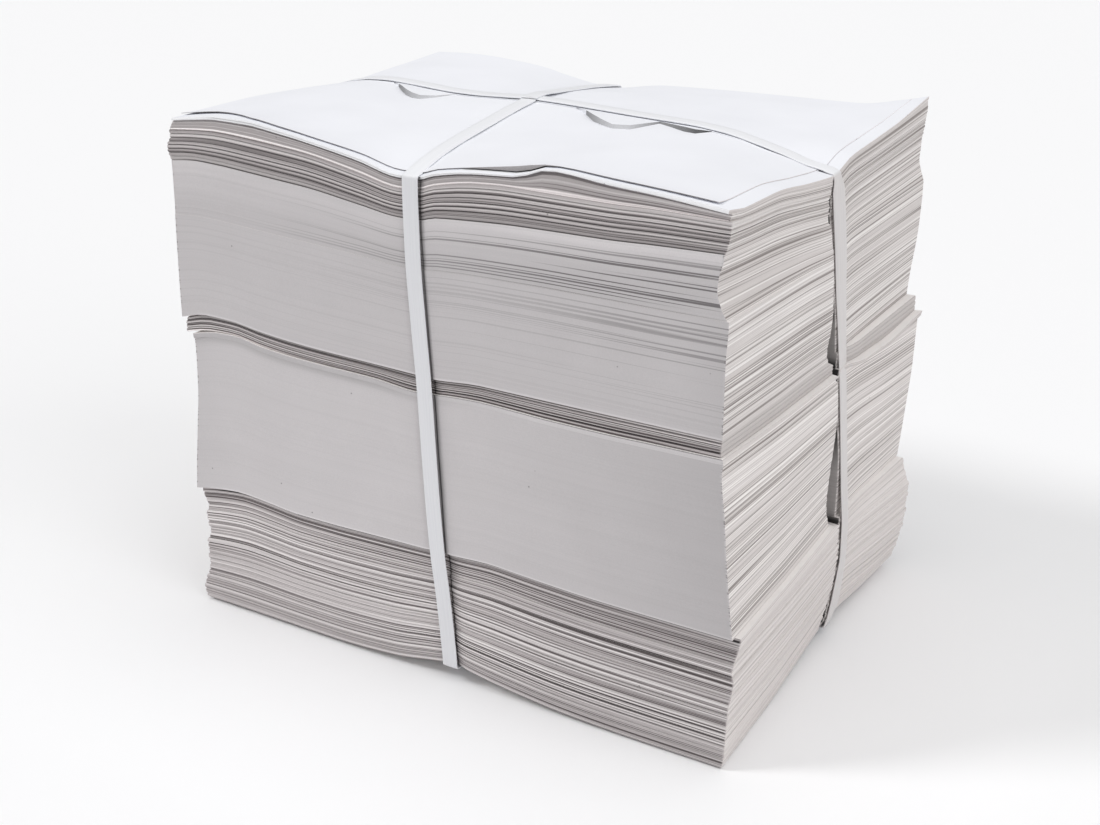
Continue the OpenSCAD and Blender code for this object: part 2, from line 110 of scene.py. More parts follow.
# How the strapped bale is pressed out of flat, read off the sheet lines of the front, top and right side.
shape = {
    "frontMarks": [0, 20, 38, 62, 84, 107, 148, 180, 193, 204, 227, 248, 271, 306, 335, 380],
    "front": [
        (0, [0.7, 1, 1, 1, 1, 1, 3.5, 9.8, 11.8, 9.6, 6.2, 4, 2, 0.5, 0.1, 0]),
        (89, [-2.5, 1.2, 3, 1.4, -0.4, -0.3, 0.8, 1.6, 2, 2.4, 3.6, 2.5, 1.3, 0, -0.3, -0.6]),
        (194, [1.4, 5.5, 6.3, 3, 1.3, 0.6, 0, -2.5, -2, -0.5, 0.6, 0, -0.7, -0.9, -0.5, 0]),
        (205.5, [0.2, 4.8, 4.7, 1.8, 0, -1, -1.8, -2.5, -3.5, -2.5, -0.5, -0.5, -0.5, -0.5, -0.5, -0.5]),
        (272, [1, 2.5, 2.2, 1, 0, -1, -2.8, -4.5, -4.5, -3, -1.8, -1.4, -1, -1, -1.2, -1]),
        (305, [2, 4, 3.5, 2, 0.5, -1, -5.6, -9, -9, -6, -4, -2.7, -2.1, -1.5, -0.3, 1]),
        (321, [5, 7, 8, 7, 5.5, 3.6, -2.5, -7.7, -7, -3.1, 1.5, 2.8, 2.6, 2.4, 3, 2.6]),
        (328, [4, 6.6, 8.3, 8.2, 6, 3.2, -2.6, -8.6, -8.4, -4.6, 0.2, 4.2, 8.1, 5, 3.4, -0.6]),
        (331.1, [3.6, 6.5, 8.4, 8.7, 6.3, 3, -2.6, -9, -9, -5.5, -1, 2.8, 6.9, 5.1, 3.3, 0]),
    ],
    "frontReach": [(0, 1), (30, 0.62), (60, 0.42), (80, 0.33), (115, 0.12), (150, 0)],
    "middleMarks": [0, 32, 62, 88, 107, 160, 200, 255, 285, 320, 380],
    "middle": [2, 3.4, 2.6, 1, 0.7, 2.6, 4.4, 3.6, 3.4, 1.5, -3],
    "middleShare": [(0, 0), (89, 0), (205, 0.15), (305, 0.45), (331.1, 1)],
    "rearMarks": [0, 40, 83, 120, 190, 219, 278, 334, 360, 380],
    "rear": [
        (0, [0, 0, 0, 0.5, 8, 5, 0.5, 0, 0, 0]),
        (89, [0, 1, 0.5, 0, 1, 1, 0, 0, 0, 0]),
        (194, [0, 1, 0, 0, -1, -1, 0, 0, 0, 0]),
        (305, [0, 0, -1.5, -4, -8, -5, -3.5, -1, 1, 2.5]),
        (331.1, [-1, 0.7, -1.7, -6.5, -12, -6.5, -4, -3, 1, 4]),
    ],
    "rearReach": [(180, 0), (222, 0.23), (255, 0.6), (284, 1)],
    "sideMarks": [0, 60, 110, 150, 175, 200, 245, 284],
    "right": [
        (0, [0, 0.2, 3, 6, 6.5, 5.5, 1.5, 0]),
        (89, [0, 0.5, 0.8, 1, 1.5, 2, 0, -2]),
        (191, [0, 0, 0, 0, 0.5, 0, -3, -4.5]),
        (205.5, [0, 0, 0, -0.5, -0.5, -0.5, -0.8, -1.5]),
        (272, [0, 0, -1.5, -4, -5, -2, -0.5, 0]),
        (305, [0, 0, -3, -7, -8, -3, -1, 0]),
        (331.1, [0, 0.8, -4, -7.5, -8.5, -3.5, -1.6, 0]),
    ],
    "rightReach": [(290, 0), (314, 0.1), (334, 0.45), (347, 0.62), (363, 0.93), (380, 1)],
    "left": [
        (0, [0, 0, 0.5, 2.5, 3, 2, 0.3, 0]),
        (89, [0, 0, 0, 0, 0, 0, 0, 0]),
        (205.5, [0, 0, 0, 0, 0, 0, 0, 0]),
        (331.1, [0, 0.5, -2.5, -6.5, -8, -6.5, -3.5, 0]),
    ],
    "leftReach": [(0, 1), (14, 0.65), (30, 0.35), (60, 0.08), (90, 0)],
    # where the front pile's top sheets end before the side-to-side strap (from the strap's middle), and
    # how far the sheets behind stand above them there
    "plainStep": 6.5,
    "step": [(0, 6.5), (56, 6.5), (60, 11), (66, 15.5), (75, 22), (86, 27), (93, 26), (97, 22.5), (100, 12),
             (104, 6.5), (220, 6.5), (227, 13), (234, 21), (243, 28.5), (252, 34), (256, 31.5), (259, 27),
             (263, 14), (266, 7.5), (271, 8.5), (279, 12.5), (293, 13.5), (296, 6.5), (380, 6.5)],
    "stepHeight": [(0, 0), (56, 0.3), (62, 3), (70, 4.2), (84, 3.6), (93, 2.2), (98, 1.2), (104, 0.3),
                   (220, 0.3), (227, 3), (234, 4.2), (243, 3.4), (252, 2.4), (258, 2.6), (264, 1.4), (268, 1),
                   (280, 3), (293, 2.4), (297, 0.3), (336, 0.3), (380, 0)],
    # shares of that height by which the front pile's end sinks and the sheets behind it rise, by column
    "stepDrop": [(100, 0), (125, 0.09), (140, 0.3), (150.5, 0.6), (151.4, 0)],
    "stepRise": [(150.5, 0), (151.4, 0.4), (158, 0.32), (168.5, 0)],
    # painted shade on the sheet edges behind the front pile's end: how light they are, by mark
    "stepShade": [(56, 0.28), (70, 0.4), (84, 0.58), (100, 0.72), (220, 0.28), (232, 0.4), (243, 0.6),
                 (256, 0.75), (266, 0.35), (280, 0.28), (296, 0.12), (336, 0.12)],
    # the white sheets sag under the cover to the right of the strap: by mark, and by column
    "sag": [(222, 0), (232, 1), (250, 3), (258, 2.6), (268, 0), (300, 0)],
    "sagReach": [(0, 1), (8, 0.8), (30, 0)],
    # right rear corners that curl up: height, reach, and the levels between which the sheets lift
    "curls": [(2.5, 34, 327.9, 340), (4.5, 48, 190.9, 194.1)],
}

# Where the straps cross the faces: (level, place)
strapLines = {
    "front": [(0, 198.8), (34, 197), (57, 195.6), (110, 191.5), (156, 188.2), (198, 185.7), (240, 182.5),
              (274, 180.5), (300, 179.3), (331.1, 180)],
    "rear": [(0, 168), (331.1, 152)],
    "right": [(0, 175), (109, 171), (166, 165), (222, 158), (275, 148), (331.1, 135)],
    "left": 172,
    "topShare": [(0, 0), (36, 0.1), (100, 0.27), (190, 0.45), (290, 0.75), (356, 0.94), (380, 1)],
}
# The front pile ends before the side-to-side strap and the rear pile begins under it, with a dark cleft
# between them on the right side. These are its columns from front to rear.
seam = {
    "end": 150,  # of the front pile's sheets
    "wall": 151.5,  # where the front pile's end meets the cleft's floor
    "foot": 167.5,  # where the cleft's floor meets the rear pile
    "inner": 168.3,  # just inside the rear pile's lip
    "lip": 169,  # first column of the rear pile
}
cleft = {
    # how far before the strap's middle the front pile ends on the right side
    "start": [(0, 9), (40, 9.5), (75, 10.5), (87, 11.5), (90, 21), (105, 24), (130, 20.5), (150, 15),
              (165, 12), (186, 11.5), (192, 16), (200, 15), (206, 24), (214, 25), (226, 19), (245, 13),
              (272, 10.5), (296, 10.5), (300, 14), (315, 14.5), (320, 11), (331.1, 8)],
    # painted shade on the rear pile behind the cleft: how light it is, by level
    "tone": [(0, 0.06), (86, 0.06), (92, 0.6), (118, 0.6), (140, 0.25), (150, 0.06), (196, 0.06), (204, 0.5),
             (222, 0.5), (238, 0.05), (331.1, 0.03)],
    # painted shade on the cleft's floor
    "floorShade": 0.03,
    "lines": 0.15,
    "depth": 12,
    "lipDepth": 0.8,
    "ragged": 1.1,  # how uneven the sheets end there
    "raggedCell": 0.9,
    "half": 6,  # from the strap's middle to the rear pile's lip
    "width": (0.8, 0.4),  # from the lip to the foot and to the inner column
}
# Marks and levels between which a side's shape fades in
fading = {
    "cleft": (340, 380),
    "step": (300, 330),
    "stepHeight": (285, 330),
    "sag": (321, 328),
    "sagTop": 330.05,  # the cover lies over the sag
}


def pairs(rows, at):
    return smoothCurve([row[0] for row in rows], [row[1] for row in rows], at)


def faded(at, ends):
    return np.clip((at - ends[0]) / (ends[1] - ends[0]), 0, 1)


def strapX(level, y):
    share = np.clip(y / bale["depth"], 0, 1)
    return pairs(strapLines["front"], level) * (1 - share) + pairs(strapLines["rear"], level) * share


def strapY(level, mark):
    share = pairs(strapLines["topShare"], mark)
    return strapLines["left"] * (1 - share) + pairs(strapLines["right"], level) * share


def settled(mark, column, level):
    # where a point of the flat bale comes to rest: its column marks and its level give x, y and z
    side = strapY(level, mark)
    edge = faded(mark, fading["cleft"])
    plain = shape["plainStep"]
    ragged = cleft["ragged"] * ripple(level / cleft["raggedCell"], level * 0 + 0.5, 5)
    start = plain + (pairs(cleft["start"], level) + ragged - plain) * edge
    step = np.interp(mark, *zip(*shape["step"])) - plain
    start = start + step * faded(level, fading["step"]) * (1 - edge)
    lip = side - cleft["half"]
    middle = bale["sideStrapMark"]
    y = stretched(column, [0, 60, seam["end"], seam["wall"], seam["foot"], seam["inner"], seam["lip"], middle,
                           middle + cleft["half"], middle + 40, bale["depth"]],
                  [0, 60 + (side - middle) * 0.4, side - start, side - start + 0.3 + edge,
                   lip - cleft["width"][0], lip - cleft["width"][1], lip, side, side + cleft["half"],
                   side + 40, bale["depth"]])
    x = stretched(mark, [0, 100, bale["frontStrapMark"], 280, 380], [0, 100, strapX(level, y), 280, 380])
    front = np.interp(column, *zip(*shape["frontReach"]))
    rear = np.interp(column, *zip(*shape["rearReach"]))
    middle = smoothCurve(shape["middleMarks"], shape["middle"], mark) * pairs(shape["middleShare"], level)
    z = level + rowsAt(shape["frontMarks"], shape["front"], level, mark) * front
    z += middle * (1 - front - rear)
    z += rowsAt(shape["rearMarks"], shape["rear"], level, mark) * rear
    z += rowsAt(shape["sideMarks"], shape["right"], level, column) * pairs(shape["rightReach"], mark)
    z += rowsAt(shape["sideMarks"], shape["left"], level, column) * pairs(shape["leftReach"], mark)
    high = np.interp(mark, *zip(*shape["stepHeight"])) * faded(level, fading["stepHeight"])
    z += high * (np.interp(column, *zip(*shape["stepRise"])) - np.interp(column, *zip(*shape["stepDrop"])))
    sag = np.interp(mark, *zip(*shape["sag"])) * faded(level, fading["sag"]) * (level < fading["sagTop"])
    z -= sag * np.interp(column, *zip(*shape["sagReach"]))
    for high, wide, lowLevel, highLevel in shape["curls"]:
        lifted = (level > lowLevel) & (level < highLevel)
        alongX = np.clip((mark - bale["width"] + wide) / wide, 0, 1) ** 1.5
        z += lifted * high * alongX * np.clip((column - bale["depth"] + wide) / wide, 0, 1)
    return x, y, z


def addLattice(name, marks, columns, levels):
    # a closed block of straight columns, rows and levels, still flat
    counts = (len(marks) - 1, len(columns) - 1, len(levels) - 1)
    bm = bmesh.new()
    bmesh.ops.create_cube(bm, size=1)
    bmesh.ops.translate(bm, verts=bm.verts, vec=(0.5, 0.5, 0.5))
    for axis, count in enumerate(counts):
        along = [e for e in bm.edges if abs((e.verts[0].co - e.verts[1].co)[axis]) > 0.5]
        bmesh.ops.subdivide_edges(bm, edges=along, cuts=count - 1, use_grid_fill=True)
    bmesh.ops.recalc_face_normals(bm, faces=bm.faces)
    mesh = meshFrom(bm, name)
    return mesh, np.rint(coordinates(mesh) * counts).astype(int)


def placeMesh(mesh, x, y, z):
    co = np.stack([x - bale["middleX"], y - bale["middleY"], z], axis=1) / 1000
    mesh.vertices.foreach_set("co", co.astype(np.float32).ravel())
    mesh.update()


def meshFrom(bm, name):
    mesh = bpy.data.meshes.new(name)
    bm.to_mesh(mesh)
    bm.free()
    return mesh


def coordinates(mesh):
    co = np.empty(len(mesh.vertices) * 3, np.float32)
    mesh.vertices.foreach_get("co", co)
    return co.reshape(-1, 3)


def linked(name, data):
    thing = bpy.data.objects.new(name, data)
    bpy.context.scene.collection.objects.link(thing)
    return thing


def addObject(name, mesh, slot, *cadNodes):
    mesh.polygons.foreach_set("use_smooth", np.ones(len(mesh.polygons), bool))
    mesh.set_sharp_from_angle(angle=math.radians(50))
    piece = linked(name, mesh)
    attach(piece, "root")
    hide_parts(*cadNodes)
    return piece


def storeValue(mesh, name, values):
    layer = mesh.attributes.new(name, "FLOAT", "POINT")
    layer.data.foreach_set("value", np.asarray(values, np.float32))


def linear(hexColour):
    parts = [int(hexColour[k:k + 2], 16) / 255 for k in (1, 3, 5)]
    return tuple(c / 12.92 if c <= 0.04045 else ((c + 0.055) / 1.055) ** 2.4 for c in parts) + (1,)


def addNode(tree, kind, settings=None, **links):
    # settings are attributes or input values, links are "input name": socket
    node = tree.nodes.new(kind)
    for key, value in (settings or {}).items():
        if hasattr(node, key):
            setattr(node, key, value)
        else:
            node.inputs[int(key[1:]) if key[0] == "#" else key].default_value = value
    for key, socket in links.items():
        tree.links.new(socket, node.inputs[int(key[1:]) if key[0] == "n" and key[1:].isdigit() else key])
    return node


def attributeNode(tree, name):
    return addNode(tree, "ShaderNodeAttribute", {"attribute_name": name})


def noiseNode(tree, vector, scale, detail, **settings):
    return addNode(tree, "ShaderNodeTexNoise", {"Scale": scale, "Detail": detail, **settings}, Vector=vector)


def product(tree, a, b):
    return addNode(tree, "ShaderNodeMath", {"operation": "MULTIPLY"}, n0=a, n1=b)


def twoTones(tree, noise, low, high):
    mixed = addNode(tree, "ShaderNodeValToRGB", n0=noise.outputs["Fac"])
    for stop, share, colour in zip(mixed.color_ramp.elements, (0.3, 0.7), (low, high)):
        stop.position = share
        stop.color = linear(colour)
    return mixed


def newMaterial(name, roughness, specular, colour="#ffffff"):
    material = bpy.data.materials.new(name)
    material.use_nodes = True
    shader = material.node_tree.nodes["Principled BSDF"]
    shader.inputs["Roughness"].default_value = roughness
    shader.inputs["Specular IOR Level"].default_value = specular
    shader.inputs["Base Color"].default_value = linear(colour)
    return material, material.node_tree, shader


def sheetCoordinates(tree):
    # x and y of the object with the sheet's own level in the third place, so that patterns follow the sheets
    place = addNode(tree, "ShaderNodeTexCoord")
    split = addNode(tree, "ShaderNodeSeparateXYZ", n0=place.outputs["Object"])
    level = attributeNode(tree, "level")
    return addNode(tree, "ShaderNodeCombineXYZ", n0=split.outputs["X"], n1=split.outputs["Y"],
                   n2=level.outputs["Fac"])


def streaks(tree, coords, lengthMm, thicknessMm):
    # noise drawn out along the sheets: one cell is lengthMm long and thicknessMm high
    scaled = addNode(tree, "ShaderNodeVectorMath", {"operation": "MULTIPLY"}, n0=coords.outputs[0])
    scaled.inputs[1].default_value = (1000 / lengthMm, 1000 / lengthMm, 1000 / thicknessMm)
    return noiseNode(tree, scaled.outputs[0], 1, 1, Roughness=0.8, Lacunarity=1.5)


def pulpGrain(tree, place):
    # paper fibre in clumps of 0.8 mm
    return noiseNode(tree, place.outputs["Object"], 1250, 3, Roughness=0.6)


def addBump(tree, strength, heightMm, **links):
    return addNode(tree, "ShaderNodeBump", {"Strength": strength, "Distance": heightMm / 1000}, **links)


def timesPlus(tree, node, factor, offset):
    # the node's value times a factor, plus a number or the value of another node
    settings = {"operation": "MULTIPLY_ADD", "#1": factor}
    if isinstance(offset, float):
        return addNode(tree, "ShaderNodeMath", {**settings, "#2": offset}, n0=node.outputs["Fac"])
    return addNode(tree, "ShaderNodeMath", settings, n0=node.outputs["Fac"], n2=offset.outputs[0])


# How the edges of stacked sheets look
edgeLook = {
    "lineMm": 400,  # how far a line runs
    "bandMm": 500,  # how far a band of several lines runs
    "bandWidth": 3.5,  # in lines
    "ground": 0.91,  # tone without the three shares below
    "clouds": 0.07,
    "grain": 0.16,
    "lineReliefMm": 0.5,
    "fibreRelief": 0.35,
    "fibreReliefMm": 0.06,
    "speckCells": 52,  # about 20 mm apart in the pile
    "speckSize": (0.018, 0.036),  # about a millimetre wide
    "speckTone": 0.5,
}


def edgePaper(name, colours, stops, fineMm, relief, bandShare):
    # uncoated newsprint seen on its edge: matt, with thin dark and light lines of painted shade and light
    # where sheets lie back or out
    dark, middle, light = colours
    material, tree, shader = newMaterial(name, 0.9, 0.25)
    coords = sheetCoordinates(tree)
    place = addNode(tree, "ShaderNodeTexCoord")
    # single sheets are too fine to be seen, so one line stands for a few of them
    fine = streaks(tree, coords, edgeLook["lineMm"], fineMm)
    band = streaks(tree, coords, edgeLook["bandMm"], fineMm * edgeLook["bandWidth"])
    ramp = addNode(tree, "ShaderNodeValToRGB", n0=fine.outputs["Fac"])
    for k in range(2):
        ramp.color_ramp.elements.new(0.5)
    for stop, share, colour in zip(ramp.color_ramp.elements, stops, (dark, middle, middle, light)):
        stop.position = share
        stop.color = linear(colour)
    strength = attributeNode(tree, "lines")
    striped = addNode(tree, "ShaderNodeMix", {"data_type": "RGBA", "#6": linear(middle)},
                      n0=strength.outputs["Fac"], n7=ramp.outputs["Color"])
    # slow changes: bands of sheets a little lighter or darker, soft clouds, and the grain of the fibres
    cloud = noiseNode(tree, place.outputs["Object"], 28, 2)
    grain = pulpGrain(tree, place)
    slow = timesPlus(tree, band, bandShare, edgeLook["ground"] - bandShare / 2)
    slow = timesPlus(tree, cloud, edgeLook["clouds"], slow)
    slow = timesPlus(tree, grain, edgeLook["grain"], slow)
    tone = product(tree, attributeNode(tree, "tone").outputs["Fac"], slow.outputs[0])
    # specks of bark and dirt
    specks = addNode(tree, "ShaderNodeTexVoronoi", {"Scale": edgeLook["speckCells"]},
                     Vector=place.outputs["Object"])
    clean = addNode(tree, "ShaderNodeMapRange", {
        "From Min": edgeLook["speckSize"][0], "From Max": edgeLook["speckSize"][1],
        "To Min": edgeLook["speckTone"], "To Max": 1.0}, Value=specks.outputs["Distance"])
    tone = product(tree, tone.outputs[0], clean.outputs[0])
    coloured = addNode(tree, "ShaderNodeVectorMath", {"operation": "SCALE"}, n0=striped.outputs[2],
                       Scale=tone.outputs[0])
    tree.links.new(coloured.outputs[0], shader.inputs["Base Color"])
    depth = product(tree, fine.outputs["Fac"], strength.outputs["Fac"])
    stripes = addBump(tree, relief, edgeLook["lineReliefMm"], Height=depth.outputs[0])
    fibres = addBump(tree, edgeLook["fibreRelief"], edgeLook["fibreReliefMm"], Height=grain.outputs["Fac"],
                     Normal=stripes.outputs["Normal"])
    tree.links.new(fibres.outputs["Normal"], shader.inputs["Normal"])
    return material


foldedEdges = edgePaper("newsprintFoldedEdges", ("#5f5858", "#c6bfbf", "#f0ebea"), (0.38, 0.47, 0.53, 0.62),
                        0.75, 0.2, 0.05)
foldedFace = edgePaper("newsprintSmoothFold", ("#7f7b7c", "#ccc8c9", "#d5d1d2"), (0.37, 0.44, 0.7, 0.8),
                       1, 0.1, 0.05)
trimmedEdges = edgePaper("newsprintTrimmedEdges", ("#918a87", "#d9d3d1", "#f4f0ee"), (0.34, 0.46, 0.54, 0.66),
                         0.75, 0.12, 0.03)
whiteEdges = edgePaper("newsprintWhiteEdges", ("#a8a8ac", "#fbfbfd", "#ffffff"), (0.3, 0.37, 0.6, 0.7),
                       0.8, 0.1, 0.08)


def sheetPaper(name, low, high):
    # one flat sheet: matt, with a soft unevenness from lying in the stack
    material, tree, shader = newMaterial(name, 0.85, 0.3)
    place = addNode(tree, "ShaderNodeTexCoord")
    cloud = noiseNode(tree, place.outputs["Object"], 18, 2)
    mixed = twoTones(tree, cloud, low, high)
    tree.links.new(mixed.outputs["Color"], shader.inputs["Base Color"])
    fibres = addBump(tree, 0.35, 0.03, Height=pulpGrain(tree, place).outputs["Fac"])
    tree.links.new(fibres.outputs["Normal"], shader.inputs["Normal"])
    return material


# bleached newsprint on top, faintly blue white, and the plain grey sheets that show on the ledges
whiteSheet = sheetPaper("newsprintWhiteSheet", "#eff0f5", "#f3f4f9")
greySheet = sheetPaper("newsprintGreySheet", "#ebe7e5", "#f2eeec")

# polypropylene packing strap: cool white, satin, with faint lengthwise drawing marks, and a painted shade by
# the way it faces: darker on the bale's front, darker and warmer on its right side
strapping, tree, shader = newMaterial("polypropyleneStrapping", 0.42, 0.5)
across = attributeNode(tree, "across")
along = attributeNode(tree, "along")
band = addNode(tree, "ShaderNodeCombineXYZ", n0=across.outputs["Fac"], n1=along.outputs["Fac"])
marksNoise = noiseNode(tree, band.outputs[0], 1, 2)
tint = twoTones(tree, marksNoise, "#f1f2f6", "#f8f9fc")
# painted shade of the strap's front and right side, stored at each point
facingShade = attributeNode(tree, "facingShade")
seen = addNode(tree, "ShaderNodeVectorMath", {"operation": "MULTIPLY"}, n0=tint.outputs["Color"],
               n1=facingShade.outputs["Vector"])
tree.links.new(seen.outputs[0], shader.inputs["Base Color"])
drawn = addBump(tree, 0.2, 0.1, Height=marksNoise.outputs["Fac"])
tree.links.new(drawn.outputs["Normal"], shader.inputs["Normal"])
print("materials made")

# Marks and columns of the lattice: closer together at the corners, the straps and the seam
marks = np.concatenate([[0, 1.2, 3.5, 7, 12], np.linspace(20, 168, 20),
                        [174, 180, 184, 187, 190, 192.5, 194, 195, 196, 197.5, 200, 204, 210],
                        np.linspace(218, 362, 19), [368, 373, 376.5, 378.8, 380]])
columns = np.concatenate([[0, 1.2, 3.5, 7, 12], np.linspace(20, 140, 16), [146], list(seam.values()),
                          [175, 181], np.linspace(188, 272, 12), [277, 280.5, 282.8, 284]])

# How the sides of the bale are worked
working = {
    "reach": {"left": 70, "right": 80, "front": 60, "rear": 60},  # how far inwards a side's outline is felt
    "leftPress": (2.5, 14),  # how deep and wide the straps press into the sheets
    "frontPress": (1.5, 6),
    "frontPressMark": 191,
    "swell": 0.7,
    "coverLift": (0.8, 14),  # how high the cover's front edge stands, and how far back
    "endCut": 12,  # a rounded front right corner reaches this far back
    "unevenness": {"front": (1.1, 0.75), "side": (1.1, 0.8)},  # how many mm of sheets lie alike
}


def outward(rows, share, key):
    # how far a group stands out on one side, by the share of its height
    return smoothCurve([row["share"] for row in rows], [row[key] for row in rows], share)


def pressed(distance, press):
    depth, wide = press
    return depth * np.exp(-(distance / wide) ** 2)


def edges(*rows):
    names = ("share", "left", "rightFront", "rightMiddle", "rightRear", "front", "rear")
    return [dict(zip(names, row)) for row in rows]


def addQuire(group, n):
    # one quire or block of sheets: its lattice is pressed into shape, then its edges are worked
    count = group["count"]
    low = group["low"] + (group["high"] - group["low"]) * (n - 1) / count
    high = group["low"] + (group["high"] - group["low"]) * n / count
    name = group["node"] if count == 1 else f"{group['node']}_{n:02d}"
    layers = max(2, round((high - low) / group["leaf"]))
    levels = np.linspace(low, high, layers + 1)
    mesh, steps = addLattice(name, marks, columns, levels)
    mark, column, level = marks[steps[:, 0]], columns[steps[:, 1]], levels[steps[:, 2]]
    onFront, onRear = steps[:, 1] == 0, steps[:, 1] == steps[:, 1].max()
    onLeft, onRight = steps[:, 0] == 0, steps[:, 0] == steps[:, 0].max()
    reach = working["reach"]
    fromLeft = np.clip(1 - mark / reach["left"], 0, 1)
    fromRight = np.clip(1 - (bale["width"] - mark) / reach["right"], 0, 1)
    fromFront = np.clip(1 - column / reach["front"], 0, 1)
    fromRear = np.clip(1 - (bale["depth"] - column) / reach["rear"], 0, 1)
    share = (level - group["low"]) / (group["high"] - group["low"])
    if "inset" in group:
        inset = group["inset"]
        mark2 = mark + inset["left"] * fromLeft - np.interp(column, *zip(*inset["right"])) * fromRight
        column2 = column + pairs(inset["front"], mark) * fromFront - inset["rear"] * fromRear
        x, y, z = settled(mark2, column2, level)
        z += working["coverLift"][0] * np.clip(1 - column / working["coverLift"][1], 0, 1)
    else:
        x, y, z = settled(mark, column, level)
    rows = group["edges"]
    middle = outward(rows, share, "rightMiddle")
    near = outward(rows, share, "rightFront")
    far = outward(rows, share, "rightRear")
    end = pairs(group["end"], share) if "end" in group else middle + 2.2
    after = pairs(group["after"], share) if "after" in group else middle + (far - middle) * 0.1
    rightOut = stretched(column, [0, 75, seam["end"], seam["lip"], 178, 192, bale["depth"]], [
        near, (near + end) / 2 + 0.8, end, middle, middle, after, far])
    onFloor = (column >= seam["wall"]) & (column <= seam["foot"])
    rightOut = np.where(onFloor, middle - cleft["depth"], rightOut)
    rightOut = np.where(column == seam["inner"], middle - cleft["lipDepth"], rightOut)
    rightOut = rightOut - group.get("cut", 0) * np.clip(1 - column / working["endCut"], 0, 1)
    leftOut = outward(rows, share, "left") - pressed(column - bale["sideStrapMark"], working["leftPress"])
    swell = working["swell"] * np.sin(mark / bale["width"] * math.pi)
    frontOut = outward(rows, share, "front") + swell
    frontOut = frontOut - pressed(mark - working["frontPressMark"], working["frontPress"])
    rearOut = outward(rows, share, "rear") + swell
    # every few sheets lie a little further in or out, the quires are rounded at their folds
    within = (level - low) / (high - low)
    round4 = (2 * within - 1) ** 4
    gap = np.abs(2 * within - 1) ** group.get("gap", 4)
    luck = chance[(n * 37 + len(name) * 5) % 4096]
    bite = group["fold"] * (1 + 0.4 * luck)
    shift = group["shift"] * luck
    along = mark / 150 + column / 90
    coarse, fine = working["unevenness"]["front"]
    faceRelief = ripple(level / coarse, along, 1) * 0.5 + ripple(level / fine, along * 1.3, 2) * 0.5
    coarse, fine = working["unevenness"]["side"]
    sideRelief = ripple(level / coarse, along * 1.2, 3) * 0.6 + ripple(level / fine, along * 2, 4) * 0.5
    endOut = shift + faceRelief * group["relief"] - round4 * bite
    sideOut = shift + sideRelief * group["sideRelief"] - round4 * bite * group.get("sideFold", 0.5)
    frontOut = frontOut + np.where(onFront, endOut, 0)
    rearOut = rearOut + np.where(onRear, endOut, 0)
    leftOut = leftOut + np.where(onLeft, sideOut, 0)
    rightOut = rightOut + np.where(onRight, sideOut, 0)
    if "inset" not in group:
        x = x - leftOut * fromLeft + rightOut * fromRight
        y = y - frontOut * fromFront + rearOut * fromRear
    placeMesh(mesh, x, y, np.maximum(z, 0))
    storeLooks(mesh, group, mark, column, level, share, gap * (1 + 0.5 * luck), faceRelief, onLeft | onRight)
    for material in (group["face"], trimmedEdges, group.get("sheet", greySheet), whiteEdges):
        mesh.materials.append(material)
    corners = steps[np.array([p.vertices[:] for p in mesh.polygons])]
    flat = corners.max(axis=1) == corners.min(axis=1)
    slots = np.where(flat[:, 2], 2, np.where(flat[:, 0], 1, 0))  # faces up or down, sideways, front or rear
    # the sheet edges behind each end of the front pile's top sheets, in a material that shows their painted
    # shade
    firstMark = marks[corners[:, :, 0].min(axis=1)]
    wall = (columns[corners[:, :, 1].min(axis=1)] == seam["end"]) & flat[:, 2]
    slots[wall & (pairs(shape["stepHeight"], firstMark) > 0.5)] = 3
    # the gap under the cover where the white sheets sag, in a material that shows its painted shade
    lastColumn = columns[corners[:, :, 1].max(axis=1)]
    under = (firstMark > 215) & (firstMark < 262) & (lastColumn < 25) & (lastColumn > 5)
    slots[flat[:, 2] & under & (group["node"] == "second_sheets")] = 3
    mesh.polygons.foreach_set("material_index", slots.astype(np.int32))
    return addObject(name + "_paper", mesh, group["slot"], name)


# Tones that the quires share, with painted shade in the creases, beside the front strap and in the gap under
# the cover
looks = {
    "rearShift": 0.043,  # the rear pile's lines don't run on from the front pile's
    "left": 0.95,
    "sideCrease": 0.35,
    "strapShadowLine": (0.75, 4.9, 0.9),  # painted shadow line beside the front strap: strength, distance, width
    "soft": [(0, 0.24), (190, 0.24), (205, 0.07), (331, 0.04)],  # its soft shade, by level
    "softStart": 4.5,
    "softReach": 4.2,
    # painted shade in the gap under the cover
    "coverGapShade": 0.15,
}


